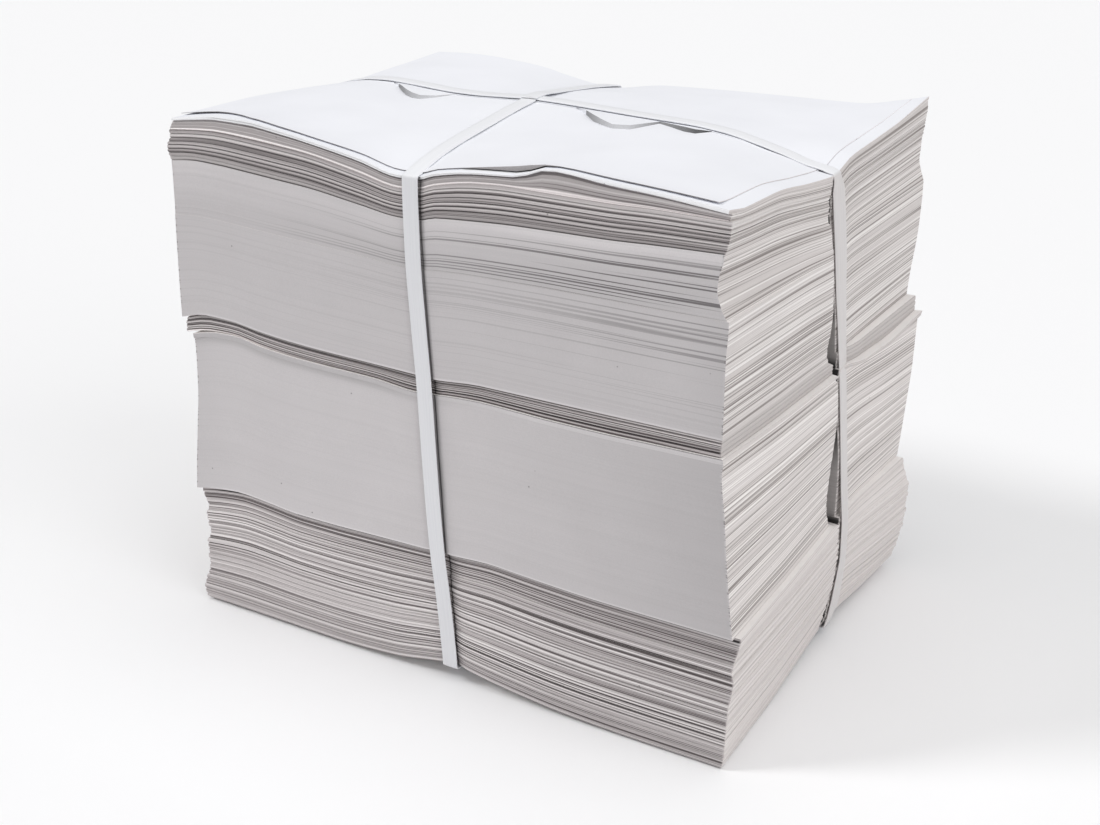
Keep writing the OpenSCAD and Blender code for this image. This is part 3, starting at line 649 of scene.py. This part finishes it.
def storeLooks(mesh, group, mark, column, level, share, crease, relief, onSide):
    # what the materials read at each point: the sheet's level, how light it is with its painted shade, and
    # how strong its lines are
    rearPile = np.where(column >= seam["foot"], looks["rearShift"], 0)
    storeValue(mesh, "level", level / 1000 + rearPile)
    # tone by height within the group, painted shade where sheets lie back, and painted light falloff along
    # the front
    tone = pairs(group["tone"], share) * (1 + group["toneRipple"] * relief) * pairs(group["along"], mark)
    # painted shade in the creases between quires
    tone = tone * (1 - group["crease"] * crease)
    # painted shade in the gaps between groups, under their overhanging edges and at the floor; a strength
    # below zero makes a lighter line instead
    for height, strength, wide, reach in group["seamShading"]:
        line = strength * np.exp(-((level - height) / wide) ** 2)
        tone = tone * (1 - line * np.interp(mark, *zip(*reach)))
    side = (1 - group["crease"] * looks["sideCrease"] * crease) * group.get("sideTone", 1)
    tone = np.where(onSide & (mark > 379), side, np.where(onSide, side * looks["left"], tone))
    # shade beside and behind the front strap
    beside = mark - bale["frontStrapMark"]
    soft = np.interp(level, *zip(*looks["soft"])) * (beside > 4)
    strength, at, wide = looks["strapShadowLine"]
    shade = strength * np.exp(-((beside - at) / wide) ** 2)
    shade = shade + soft * np.exp(-np.maximum(beside - looks["softStart"], 0) / looks["softReach"])
    tone = np.where((column == 0) & ~onSide, tone * (1 - shade), tone)
    # painted shade in the cleft on the right side, on its floor and on the rear pile behind it
    inCleft = (mark > 330) & (column >= seam["wall"]) & (column <= seam["inner"])
    behind = inCleft & (column >= seam["foot"])
    tone = np.where(inCleft, np.where(behind, pairs(cleft["tone"], level), cleft["floorShade"]), tone)
    # painted shade on the sheet edges where the front pile's top sheets end
    atStep = (column == seam["end"]) | (column == seam["wall"])
    tone = np.where(atStep & ~onSide, pairs(shape["stepShade"], mark), tone)
    # painted shade on the white sheets in the gap under the cover's front edge; the strip in front of the
    # cover keeps its full tone
    nearEdge = (level == 330) & (column > 0) & (column < 25)
    gap = nearEdge & (column > 4) & (mark > 225) & (mark < 266)
    tone = np.where(gap, looks["coverGapShade"], np.where(nearEdge & (column < 6), 1, tone))
    storeValue(mesh, "tone", tone)
    lines = np.where(onSide, group["sideLines"], group["lines"](mark, level))
    storeValue(mesh, "lines", np.where(inCleft, cleft["lines"], lines))


def allLines(mark, level):
    return np.ones(mark.shape)


def ribLines(mark, level):
    return np.full(mark.shape, 0.65)


def noLines(mark, level):
    return np.full(mark.shape, 0.03)


def upperLines(mark, level):
    # sheet lines that fade out to the left and downwards
    farther = 0.26 * np.clip((mark - 100) / 200, 0, 1) + 0.3 * np.clip((mark - 270) / 90, 0, 1)
    return 0.06 + farther * np.clip((level - 212) / 40, 0, 1)


def lowerLines(mark, level):
    # weaker in the lowest quires on the left
    return 0.95 - 0.4 * np.clip((200 - mark) / 100, 0, 1) * np.clip((45 - level) / 15, 0, 1)


def shoulderLines(mark, level):
    return 0.06 + 0.94 * np.clip((mark - 60) / 240, 0.05, 1) * np.clip((305 - level) / 12, 0, 1)


everywhere = [(8, 0), (22, 1)]  # how strong a painted seam shade is along the front, by mark
lightFalloff = [(0, 1.03), (380, 0.97)]  # painted light falloff: the front a little lighter at the left and darker at the right, by mark

folded = {"slot": "folded_edge", "face": foldedEdges, "lines": allLines, "along": lightFalloff}
smooth = {
    "slot": "trimmed_edge", "face": foldedFace, "fold": 0, "shift": 0, "relief": 0.02, "sideRelief": 0.03,
    "crease": 0, "toneRipple": 0, "lines": noLines, "sideLines": 1,
}
bottomGroup = {
    **folded, "node": "bottom_quire", "count": 21, "low": 0, "high": 89, "leaf": 0.42,
    "fold": 0.6, "shift": 0.4, "relief": 0.09, "sideRelief": 0.05, "sideFold": 0.8,
    "crease": 0.4, "toneRipple": 0.04, "lines": lowerLines, "sideLines": 0.32, "sideTone": 1.07,
    "tone": [(0, 0.95), (0.1, 0.98), (0.3, 1.02), (0.6, 1.02), (0.9, 1), (1, 1)],
    "along": [(0, 1.01), (190, 1.01), (260, 0.96), (380, 0.9)],
    "seamShading": [(87.2, 1, 0.65, everywhere), (0, 0.35, 0.8, everywhere)],
    "end": [(0, -4), (0.11, -2.3), (0.25, 0.3), (0.33, 1.8), (0.5, 4.2), (0.66, 5.6), (0.85, 6), (1, 6)],
    "edges": edges((0, 2.5, 3, -5, -4, -1.5, -1), (0.03, 4.3, 4.6, -3.5, -2, 0.2, 0.5),
                   (0.1, 4.6, 5.2, -1.5, 2, 0.5, 0.5), (0.33, -1.8, 6, 1, 7.2, 0.5, 1),
                   (0.5, -1.8, 7, 3.2, 9.6, 0.8, 0.5), (0.66, -5.4, 9.2, 4, 10.2, 1, 0),
                   (0.76, -3, 7.8, 4.3, 10.4, 0.5, 0), (0.85, -4.2, 9.5, 4.3, 8.5, 0, 0),
                   (0.95, -1.2, 11.4, 4.2, 5.8, 0, -1), (1, -0.9, 12, 4.2, 5, -0.3, -1)),
}
middleGroup = {
    **smooth, "node": "middle_quire", "count": 5, "low": 89, "high": 191, "leaf": 0.8, "sideTone": 1.03,
    "tone": [(0, 1), (1, 1)],
    "along": [(0, 1.01), (60, 1.05), (150, 1.05), (250, 0.99), (310, 0.93), (350, 0.88), (380, 0.83)],
    "seamShading": [(89.4, -0.3, 0.5, everywhere), (191.2, 0.28, 3.4, [(0, 0.7), (140, 1), (230, 0)])],
    "end": [(0, 2.5), (0.2, 1.5), (0.45, 2), (0.7, 2.2), (1, 1.7)],
    "edges": edges((0, 1.3, 8, 1, 0, 3, 1), (0.2, -0.5, 5, 1.5, 1.5, 2.4, 1),
                   (0.4, -2.6, 2.2, 1.5, 3, 1.6, 0.5), (0.7, -5.9, -1, 0, 5, 1, 0),
                   (0.95, -6.5, -4, -0.5, 5.4, 0.5, 0), (1, -6.3, -3.2, 0, 5.5, 0.5, 0)),
}
ledgeGroup = {
    **smooth, "node": "ledge_quire", "count": 1, "low": 191, "high": 194, "leaf": 0.75, "sideRelief": 0.1,
    "tone": [(0, 1), (0.6, 1.03), (1, 1.12)], "along": [(0, 0.85), (150, 0.9), (260, 1.06), (380, 1)],
    "sideLines": 0.3, "seamShading": [(194, 0.8, 0.4, [(110, 0), (200, 0.8), (270, 1)])],
    "end": [(0, 2), (1, 4)], "after": [(0, 6), (1, 7.5)],
    "edges": edges((0, -5.5, -3.5, 0, 7.5, 0.5, 0), (1, -5, -4, 0.5, 8.3, 0.4, 0)),
}
thinGroup = {
    **folded, "node": "thin_quire", "count": 4, "low": 194, "high": 205.5, "leaf": 0.36,
    "fold": 0.5, "shift": 0.3, "relief": 0.2, "sideRelief": 0.05,
    "crease": 0.45, "gap": 3, "toneRipple": 0.06, "sideLines": 0.12, "sideTone": 0.87,
    "tone": [(0, 1.5), (0.08, 1.45), (0.14, 0.95), (0.6, 0.98), (1, 0.98)],
    "seamShading": [(205.4, 0.75, 0.5, everywhere),
              (203.8, 0.55, 1.7, [(0, 0.6), (15, 1), (110, 1), (200, 0.4), (260, 0)])],
    "end": [(0, -0.8), (1, -0.3)], "after": [(0, 1.5), (1, 2)],
    "edges": edges((0, 0.6, -5.6, -2, 3, -0.8, 0), (0.5, 1, -5.8, -1.6, 2.8, -1.1, 0),
                   (1, -0.6, -5.6, -1.2, 2.6, -1.6, 0)),
}
upperGroup = {
    **smooth, "node": "upper_quire", "count": 5, "low": 205.5, "high": 272, "leaf": 0.8, "sideTone": 0.97,
    "tone": [(0, 0.98), (1, 0.97)], "lines": upperLines, "seamShading": [(206, -0.25, 0.5, everywhere)],
    "along": [(0, 1.01), (150, 1.01), (200, 1), (260, 0.99), (350, 0.98), (380, 0.92)],
    "edges": edges((0, 2.4, -4.4, -2.5, -3.4, 1, 0), (0.2, 2.4, -4.5, -2.5, -2.5, 0.8, 0),
                   (0.65, 1.8, -4.8, -3.5, 0.3, 0.5, 0.5), (0.95, 1, -4, -4, 1, 0.5, 0.2),
                   (1, 0.9, -4, -4, 1.1, 0.5, 0)),
}
shoulderGroup = {
    **smooth, "node": "shoulder_quire", "count": 3, "low": 272, "high": 305, "leaf": 0.8, "relief": 0.03,
    "tone": [(0, 0.92), (0.35, 0.95), (0.6, 1), (1, 1.06)], "toneRipple": 0.04, "sideTone": 0.97,
    "along": lightFalloff, "lines": shoulderLines, "seamShading": [(303.5, -0.16, 3.5, [(150, 0), (260, 1)])],
    "edges": edges((0, 0.8, -5.2, -4, 1, 0.3, 0), (0.2, 0.7, -9.2, -4.3, 1, 0, 0),
                   (0.45, 0.5, -11.5, -4.6, -1.5, 0, 0), (0.65, 0.3, -10.9, -4.9, -3.1, 0, 0),
                   (0.9, 0.2, -8.7, -5.2, -2.8, 0, 0), (1, 0.2, -8.4, -5.3, -2.7, 0, 0)),
}
ribbedGroup = {
    **folded, "node": "ribbed_quire", "count": 8, "low": 305, "high": 321, "leaf": 0.25,
    "fold": 0.6, "shift": 0.15, "relief": 0.07, "sideRelief": 0.03,
    "crease": 0.62, "gap": 2.6, "toneRipple": 0.03, "lines": ribLines, "sideLines": 0.9, "sideTone": 0.96,
    "tone": [(0, 0.72), (0.12, 0.84), (0.3, 0.92), (0.6, 1), (1, 1.04)],
    "along": [(0, 0.93), (100, 0.95), (380, 0.93)], "seamShading": [(305.3, 0.75, 0.5, everywhere)],
    "edges": edges((0, 0.3, -7.8, -4.6, -2.6, 0, 0), (0.15, 1.6, -7, -4.4, -2.4, 0.2, 0),
                   (0.45, 2.6, -5.8, -4.3, -1.8, 0.2, 0), (0.8, -0.6, -5, -4.1, -1.2, 0.3, 0),
                   (1, 0, -4.6, -4, -0.8, 0.3, 0)),
}
thickGroup = {
    **folded, "node": "thick_quire", "count": 1, "low": 321, "high": 328, "leaf": 0.35, "cut": 2,
    "fold": 0.5, "shift": 0, "relief": 0.07, "sideRelief": 0.04,
    "crease": 0.1, "toneRipple": 0.03, "lines": ribLines, "sideLines": 0.9, "sideTone": 0.96,
    "tone": [(0, 1.8), (0.13, 1.75), (0.2, 0.82), (0.5, 0.82), (1, 0.88)],
    "along": [(0, 0.92), (250, 0.92), (380, 1)], "seamShading": [(328, 0.15, 0.5, everywhere)],
    "edges": edges((0, -0.4, -4.4, -4, -0.8, 0.2, 0), (0.5, -1.8, -4, -3.8, -0.6, -0.3, 0),
                   (1, -3.4, -3.2, -3.6, -0.6, -0.5, 0)),
}
secondGroup = {
    **smooth, "node": "second_sheets", "count": 1, "low": 328, "high": 330, "leaf": 0.4, "cut": 4,
    "slot": "white_sheet", "face": whiteEdges, "sheet": whiteSheet,
    "fold": 0.25, "relief": 0.1, "sideRelief": 0.1, "crease": 0.1, "sideLines": 0.3,
    "tone": [(0, 0.95), (0.2, 1), (1, 1.05)], "along": lightFalloff,
    "seamShading": [(329.2, 0.5, 0.3, [(24, 0), (36, 1), (70, 1), (90, 0.7), (250, 0.7), (268, 0)])],
    "edges": edges((0, -3.4, -3, -3.6, -0.6, 0.6, 0), (1, -3.8, -2.4, -3.5, -0.5, 0.9, 0)),
}
coverGroup = {
    **smooth, "node": "cover_sheets", "count": 1, "low": 330.02, "high": 330.4, "leaf": 0.2,
    "slot": "white_sheet", "sheet": whiteSheet, "relief": 0, "sideRelief": 0, "sideLines": 0,
    # painted shade on the cover's front edge, darker at its foot, and painted light on its sides
    "tone": [(0, 0.6), (1, 0.9)], "sideTone": 1.15, "along": lightFalloff, "seamShading": [],
    "inset": {"left": 4.6, "right": [(0, 14), (284, 11)], "rear": 1,
              "front": [(0, 7), (25, 12), (45, 11), (64, 5), (90, 4), (380, 4)]},
    "edges": edges((0, -3, -14, -14, -12, 0, -1), (1, -3, -14, -14, -12, 0, -1)),
}
groups = [bottomGroup, middleGroup, ledgeGroup, thinGroup, upperGroup, shoulderGroup, ribbedGroup, thickGroup,
          secondGroup, coverGroup]
for group in groups:
    for n in range(1, group["count"] + 1):
        addQuire(group, n)
    print(group["node"], "pressed into shape:", group["count"])


strap = {
    "width": 10.6,
    "thickness": 0.7,
    "edgeRound": 0.22,
    "crown": 0.2,  # how far its middle stands up
    "overPaper": 0.3,  # from the top of the bale to the middle of the strap
    "underPaper": 0.95,
    # painted shade by the way the strap faces: on top, on the front and on the right side
    "facingShades": {"top": (1, 1, 1), "front": (0.87, 0.865, 0.865), "right": (0.77, 0.73, 0.7)},
    "cuts": 7,  # between two points of the route
    "step": 0.4,  # to the points before and behind that give its direction
    "bend": 2.2,  # radius over the bale's edges
    "markWidth": 0.7,
    "markLength": 60,
}


def spot(mark, column, level):
    x, y, z = settled(np.array([float(mark)]), np.array([float(column)]), np.array([float(level)]))
    return Vector((x[0], y[0], z[0]))


up, down = Vector((0, 0, 1)), Vector((0, 0, -1))
frontWay, rearWay = Vector((0, -1, 0)), Vector((0, 1, 0))
rightWay, leftWay = Vector((1, 0, 0)), Vector((-1, 0, 0))


def outOf(mark, column, level, way, out):
    # a point this far out of a plain face of the bale
    at = spot(mark, column, level)
    return at + way * ((Vector((mark, column, 0)) - at).dot(way) + out)


def overEdge(mark, column, level, way, bend):
    # points of a tight bend with their outward directions: how far it reaches out of the plain face, how far
    # its middle is above the paper's edge, and its first and last angle
    out, above, start, end = bend
    middle = outOf(mark, column, level, way, out - strap["bend"]) + up * above
    ways = [way * math.cos(a) + up * math.sin(a) for a in np.radians(np.linspace(start, end, 5))]
    return [(middle + strap["bend"] * turned, turned) for turned in ways]


def under(mark, column, lift):
    at = spot(mark, column, 0)
    lowest = strap["thickness"] / 2 + strap["crown"]
    return Vector((at.x, at.y, max(lowest + lift, at.z - strap["underPaper"]))), down


def addBand(name, route, node):
    # a straight bar with rounded edges, bent along a closed route of points and outward directions
    points = np.array([tuple(p) for p, out in route] + [tuple(route[0][0])])
    outs = np.array([tuple(out) for p, out in route] + [tuple(route[0][1])])
    run = np.concatenate([[0], np.cumsum(np.linalg.norm(np.diff(points, axis=0), axis=1))])
    count = (len(points) - 1) * strap["cuts"]
    bm = bmesh.new()
    bmesh.ops.create_cube(bm, size=1)
    bmesh.ops.scale(bm, verts=bm.verts, vec=(1, strap["width"], strap["thickness"]))
    bmesh.ops.translate(bm, verts=bm.verts, vec=(0.5, 0, 0))
    long = [e for e in bm.edges if abs(e.verts[0].co.x - e.verts[1].co.x) > 0.5]
    bmesh.ops.bevel(bm, geom=long, offset=strap["edgeRound"], offset_type="OFFSET", segments=2, profile=0.5,
                    affect="EDGES", material=-1)
    long = [e for e in bm.edges if abs(e.verts[0].co.x - e.verts[1].co.x) > 0.5]
    bmesh.ops.subdivide_edges(bm, edges=long, cuts=count - 1, use_grid_fill=True)
    wide = [e for e in bm.edges if abs(e.verts[0].co.y - e.verts[1].co.y) > strap["width"] / 2]
    bmesh.ops.subdivide_edges(bm, edges=wide, cuts=3, use_grid_fill=True)
    ends = [f for f in bm.faces if abs(f.normal.x) > 0.9]
    bmesh.ops.delete(bm, geom=ends, context="FACES_ONLY")
    bm.verts.index_update()
    flat = np.array([tuple(v.co) for v in bm.verts])
    flat[:, 2] += strap["crown"] * (flat[:, 2] > 0) * (1 - (2 * flat[:, 1] / strap["width"]) ** 2)
    step = np.rint(flat[:, 0] * count)
    at = np.interp(step / strap["cuts"], np.arange(len(points)), run)

    def routeAt(values, places):
        return np.stack([smoothCurve(run, values[:, k], places) for k in range(3)], axis=1)

    centre = routeAt(points, at)
    ahead = routeAt(points, np.minimum(at + strap["step"], run[-1]))
    behind = routeAt(points, np.maximum(at - strap["step"], 0))
    out = routeAt(outs, at)
    forward = (ahead - behind) / np.linalg.norm(ahead - behind, axis=1)[:, None]
    sideways = np.cross(out, forward)
    sideways /= np.linalg.norm(sideways, axis=1)[:, None]
    out = np.cross(forward, sideways)
    placed = centre + sideways * flat[:, 1:2] + out * flat[:, 2:3]
    for v, co in zip(bm.verts, placed):
        v.co = co
    across = bm.verts.layers.float.new("across")
    along = bm.verts.layers.float.new("along")
    facingShade = bm.verts.layers.float_vector.new("facingShade")
    # painted shade: the strap's colour is scaled by how far it faces up, to the right or to the front
    part = {"top": np.maximum(out[:, 2], 0) ** 2, "right": np.maximum(out[:, 0], 0) ** 2}
    part["front"] = 1 - part["top"] - part["right"]
    facingShades = sum(part[side][:, None] * np.array(strap["facingShades"][side]) for side in part)
    for v, a, b, tint in zip(bm.verts, flat[:, 1], at, facingShades):
        v[across] = a / strap["markWidth"]
        v[along] = b / strap["markLength"]
        v[facingShade] = tint
    bmesh.ops.remove_doubles(bm, verts=bm.verts, dist=0.02)
    bmesh.ops.recalc_face_normals(bm, faces=bm.faces)
    mesh = meshFrom(bm, name)
    placeMesh(mesh, *coordinates(mesh).T)
    mesh.materials.append(strapping)
    return addObject(name, mesh, "strap", node)


topLevel, depth, width = bale["height"], bale["depth"], bale["width"]
strapMark, strapColumn = bale["frontStrapMark"], bale["sideStrapMark"]

overFront = {
    # column and lift over the other strap
    "top": [(250, 0), (215, 0), (200, 0.5), (184, 1), (175, 1), (166, 1), (150, 0.5), (125, 0), (95, 0),
            (65, 0), (40, 0), (22, 0), (10, 0)],
    "frontTop": (2.2, -2.1, 90, 5),
    # level and distance out of the plain front face
    "face": [(318, 1.9), (283, 1.8), (240, 2.1), (200, 2.6), (156, 3.5), (120, 4.5), (89, 4.8), (57, 3.8),
             (25, 2.8)],
    "frontBottom": (2.6, 1.6, -5, -90),
    "under": [10, 30, 60, 110, 150, 175, 200, 240, 272],
    "rearBottom": (2.4, 2, -90, 0),
    "rear": [60, 130, 200, 270],
    "rearOut": 2.2,
    "rearTop": (2.4, -1.6, 0, 88),
}
route = [(spot(strapMark, column, topLevel) + up * (strap["overPaper"] + lift), up)
         for column, lift in overFront["top"]]
route += overEdge(strapMark, 0, topLevel, frontWay, overFront["frontTop"])
route += [(outOf(strapMark, 0, level, frontWay, out), frontWay) for level, out in overFront["face"]]
route += overEdge(strapMark, 0, 0, frontWay, overFront["frontBottom"])
route += [under(strapMark, column, 0) for column in overFront["under"]]
route += overEdge(strapMark, depth, 0, rearWay, overFront["rearBottom"])
route += [(outOf(strapMark, depth, level, rearWay, overFront["rearOut"]), rearWay)
          for level in overFront["rear"]]
route += overEdge(strapMark, depth, topLevel, rearWay, overFront["rearTop"])
addBand("strapFrontToBack", route, "strap_front_back")

overSide = {
    "top": [12, 30, 50, 75, 100, 130, 160, 180, 193, 206, 230, 255, 280, 305, 325, 345, 360, 371],
    "rightTop": (-2, -2.2, 85, 15),
    # level, distance out of the plain right face, twist towards the front in degrees
    "face": [(318, -1.8, 17), (300, -1.6, 18), (275, -1.5, 17), (250, -1.6, 12), (222, -1, 6), (168, 1, 0),
             (112, 3.4, 0), (80, 5.6, 0), (60, 5.7, 0), (45, 4.7, 4), (30, 3.2, 7), (18, 1.8, 8)],
    "rightBottom": (-2, 1.8, -10, -88),
    # mark and lift over the other strap
    "under": [(372, 0), (350, 0), (310, 0), (260, 0), (205, 0), (190, 0.9), (175, 0), (120, 0), (60, 0),
              (20, 0)],
    "leftBottom": (1.4, 1.2, -90, -5),
    "left": [40, 100, 160, 220, 280],
    "leftOut": 1.6,
    "leftTop": (1.4, -2.2, 5, 85),
}
route = [(spot(mark, strapColumn, topLevel) + up * strap["overPaper"], up) for mark in overSide["top"]]
route += overEdge(width, strapColumn, topLevel, rightWay, overSide["rightTop"])
for level, out, twist in overSide["face"]:
    turned = Vector((math.cos(math.radians(twist)), -math.sin(math.radians(twist)), 0))
    route.append((outOf(width, strapColumn, level, rightWay, out), turned))
route += overEdge(width, strapColumn, 0, rightWay, overSide["rightBottom"])
route += [under(mark, strapColumn, lift) for mark, lift in overSide["under"]]
route += overEdge(0, strapColumn, 0, leftWay, overSide["leftBottom"])
route += [(outOf(0, strapColumn, level, leftWay, overSide["leftOut"]), leftWay) for level in overSide["left"]]
route += overEdge(0, strapColumn, topLevel, leftWay, overSide["leftTop"])
addBand("strapSideToSide", route, "strap_side_side")
print("straps laid round the bale")

# Studio: a plain pale floor, soft light from above, a smaller light from the front left and a broad one from
# the right
studio = {
    "floor": "#f9f9fa",
    "floorHalf": 6,  # metres
    "floorDrop": 0.0002,
    "world": "#ffffff",
    "worldStrength": 0.3,
    # name, direction it comes from, softness in degrees, strength
    "lights": [
        ("topLight", (0.1, -0.05, 1), 60, 1.2),
        ("leftLight", (-0.8, -0.55, 0.9), 14, 0.94),
        ("rightLight", (1, -0.15, 0.6), 50, 0.78),
    ],
}
bm = bmesh.new()
bmesh.ops.create_grid(bm, x_segments=1, y_segments=1, size=studio["floorHalf"])
bmesh.ops.translate(bm, verts=bm.verts, vec=(0, 0, -studio["floorDrop"]))
mesh = meshFrom(bm, "studioFloor")
floor = linked("studioFloor", mesh)
floorPaint, tree, shader = newMaterial("mattFloorPaint", 0.9, 0.1, studio["floor"])
mesh.materials.append(floorPaint)

world = bpy.data.worlds.new("studioWorld")
world.use_nodes = True
world.node_tree.nodes["Background"].inputs["Color"].default_value = linear(studio["world"])
world.node_tree.nodes["Background"].inputs["Strength"].default_value = studio["worldStrength"]
bpy.context.scene.world = world
for name, way, softness, strength in studio["lights"]:
    lamp = bpy.data.lights.new(name, "SUN")
    lamp.angle = math.radians(softness)
    lamp.energy = strength
    light = linked(name, lamp)
    light.location = Vector(way) * 2
    light.rotation_euler = (-Vector(way)).to_track_quat("-Z", "Y").to_euler()
bpy.context.scene.view_settings.view_transform = "Standard"

camera = {
    "place": (694.0, -712.7, 547.7),  # millimetres from the front left bottom corner
    "yaw": -30.78,
    "down": 22.86,
    "roll": 0.065,
    "lens": 52.7,
    "sensor": 36,
}
lens = bpy.data.cameras.new("photoCamera")
lens.lens = camera["lens"]
lens.sensor_width = camera["sensor"]
lens.clip_start = 0.05
lens.clip_end = 50
viewer = linked("photoCamera", lens)
viewer.location = (Vector(camera["place"]) - Vector((bale["middleX"], bale["middleY"], 0))) / 1000
yaw, pitch = math.radians(camera["yaw"]), math.radians(camera["down"])
look = Vector((math.sin(yaw) * math.cos(pitch), math.cos(yaw) * math.cos(pitch), -math.sin(pitch)))
turn = look.to_track_quat("-Z", "Y").to_matrix().to_4x4()
roll = math.radians(camera["roll"])
viewer.rotation_euler = turn.to_euler()
viewer.rotation_euler.rotate_axis("Z", roll)
bpy.context.scene.camera = viewer

print("scene ready")
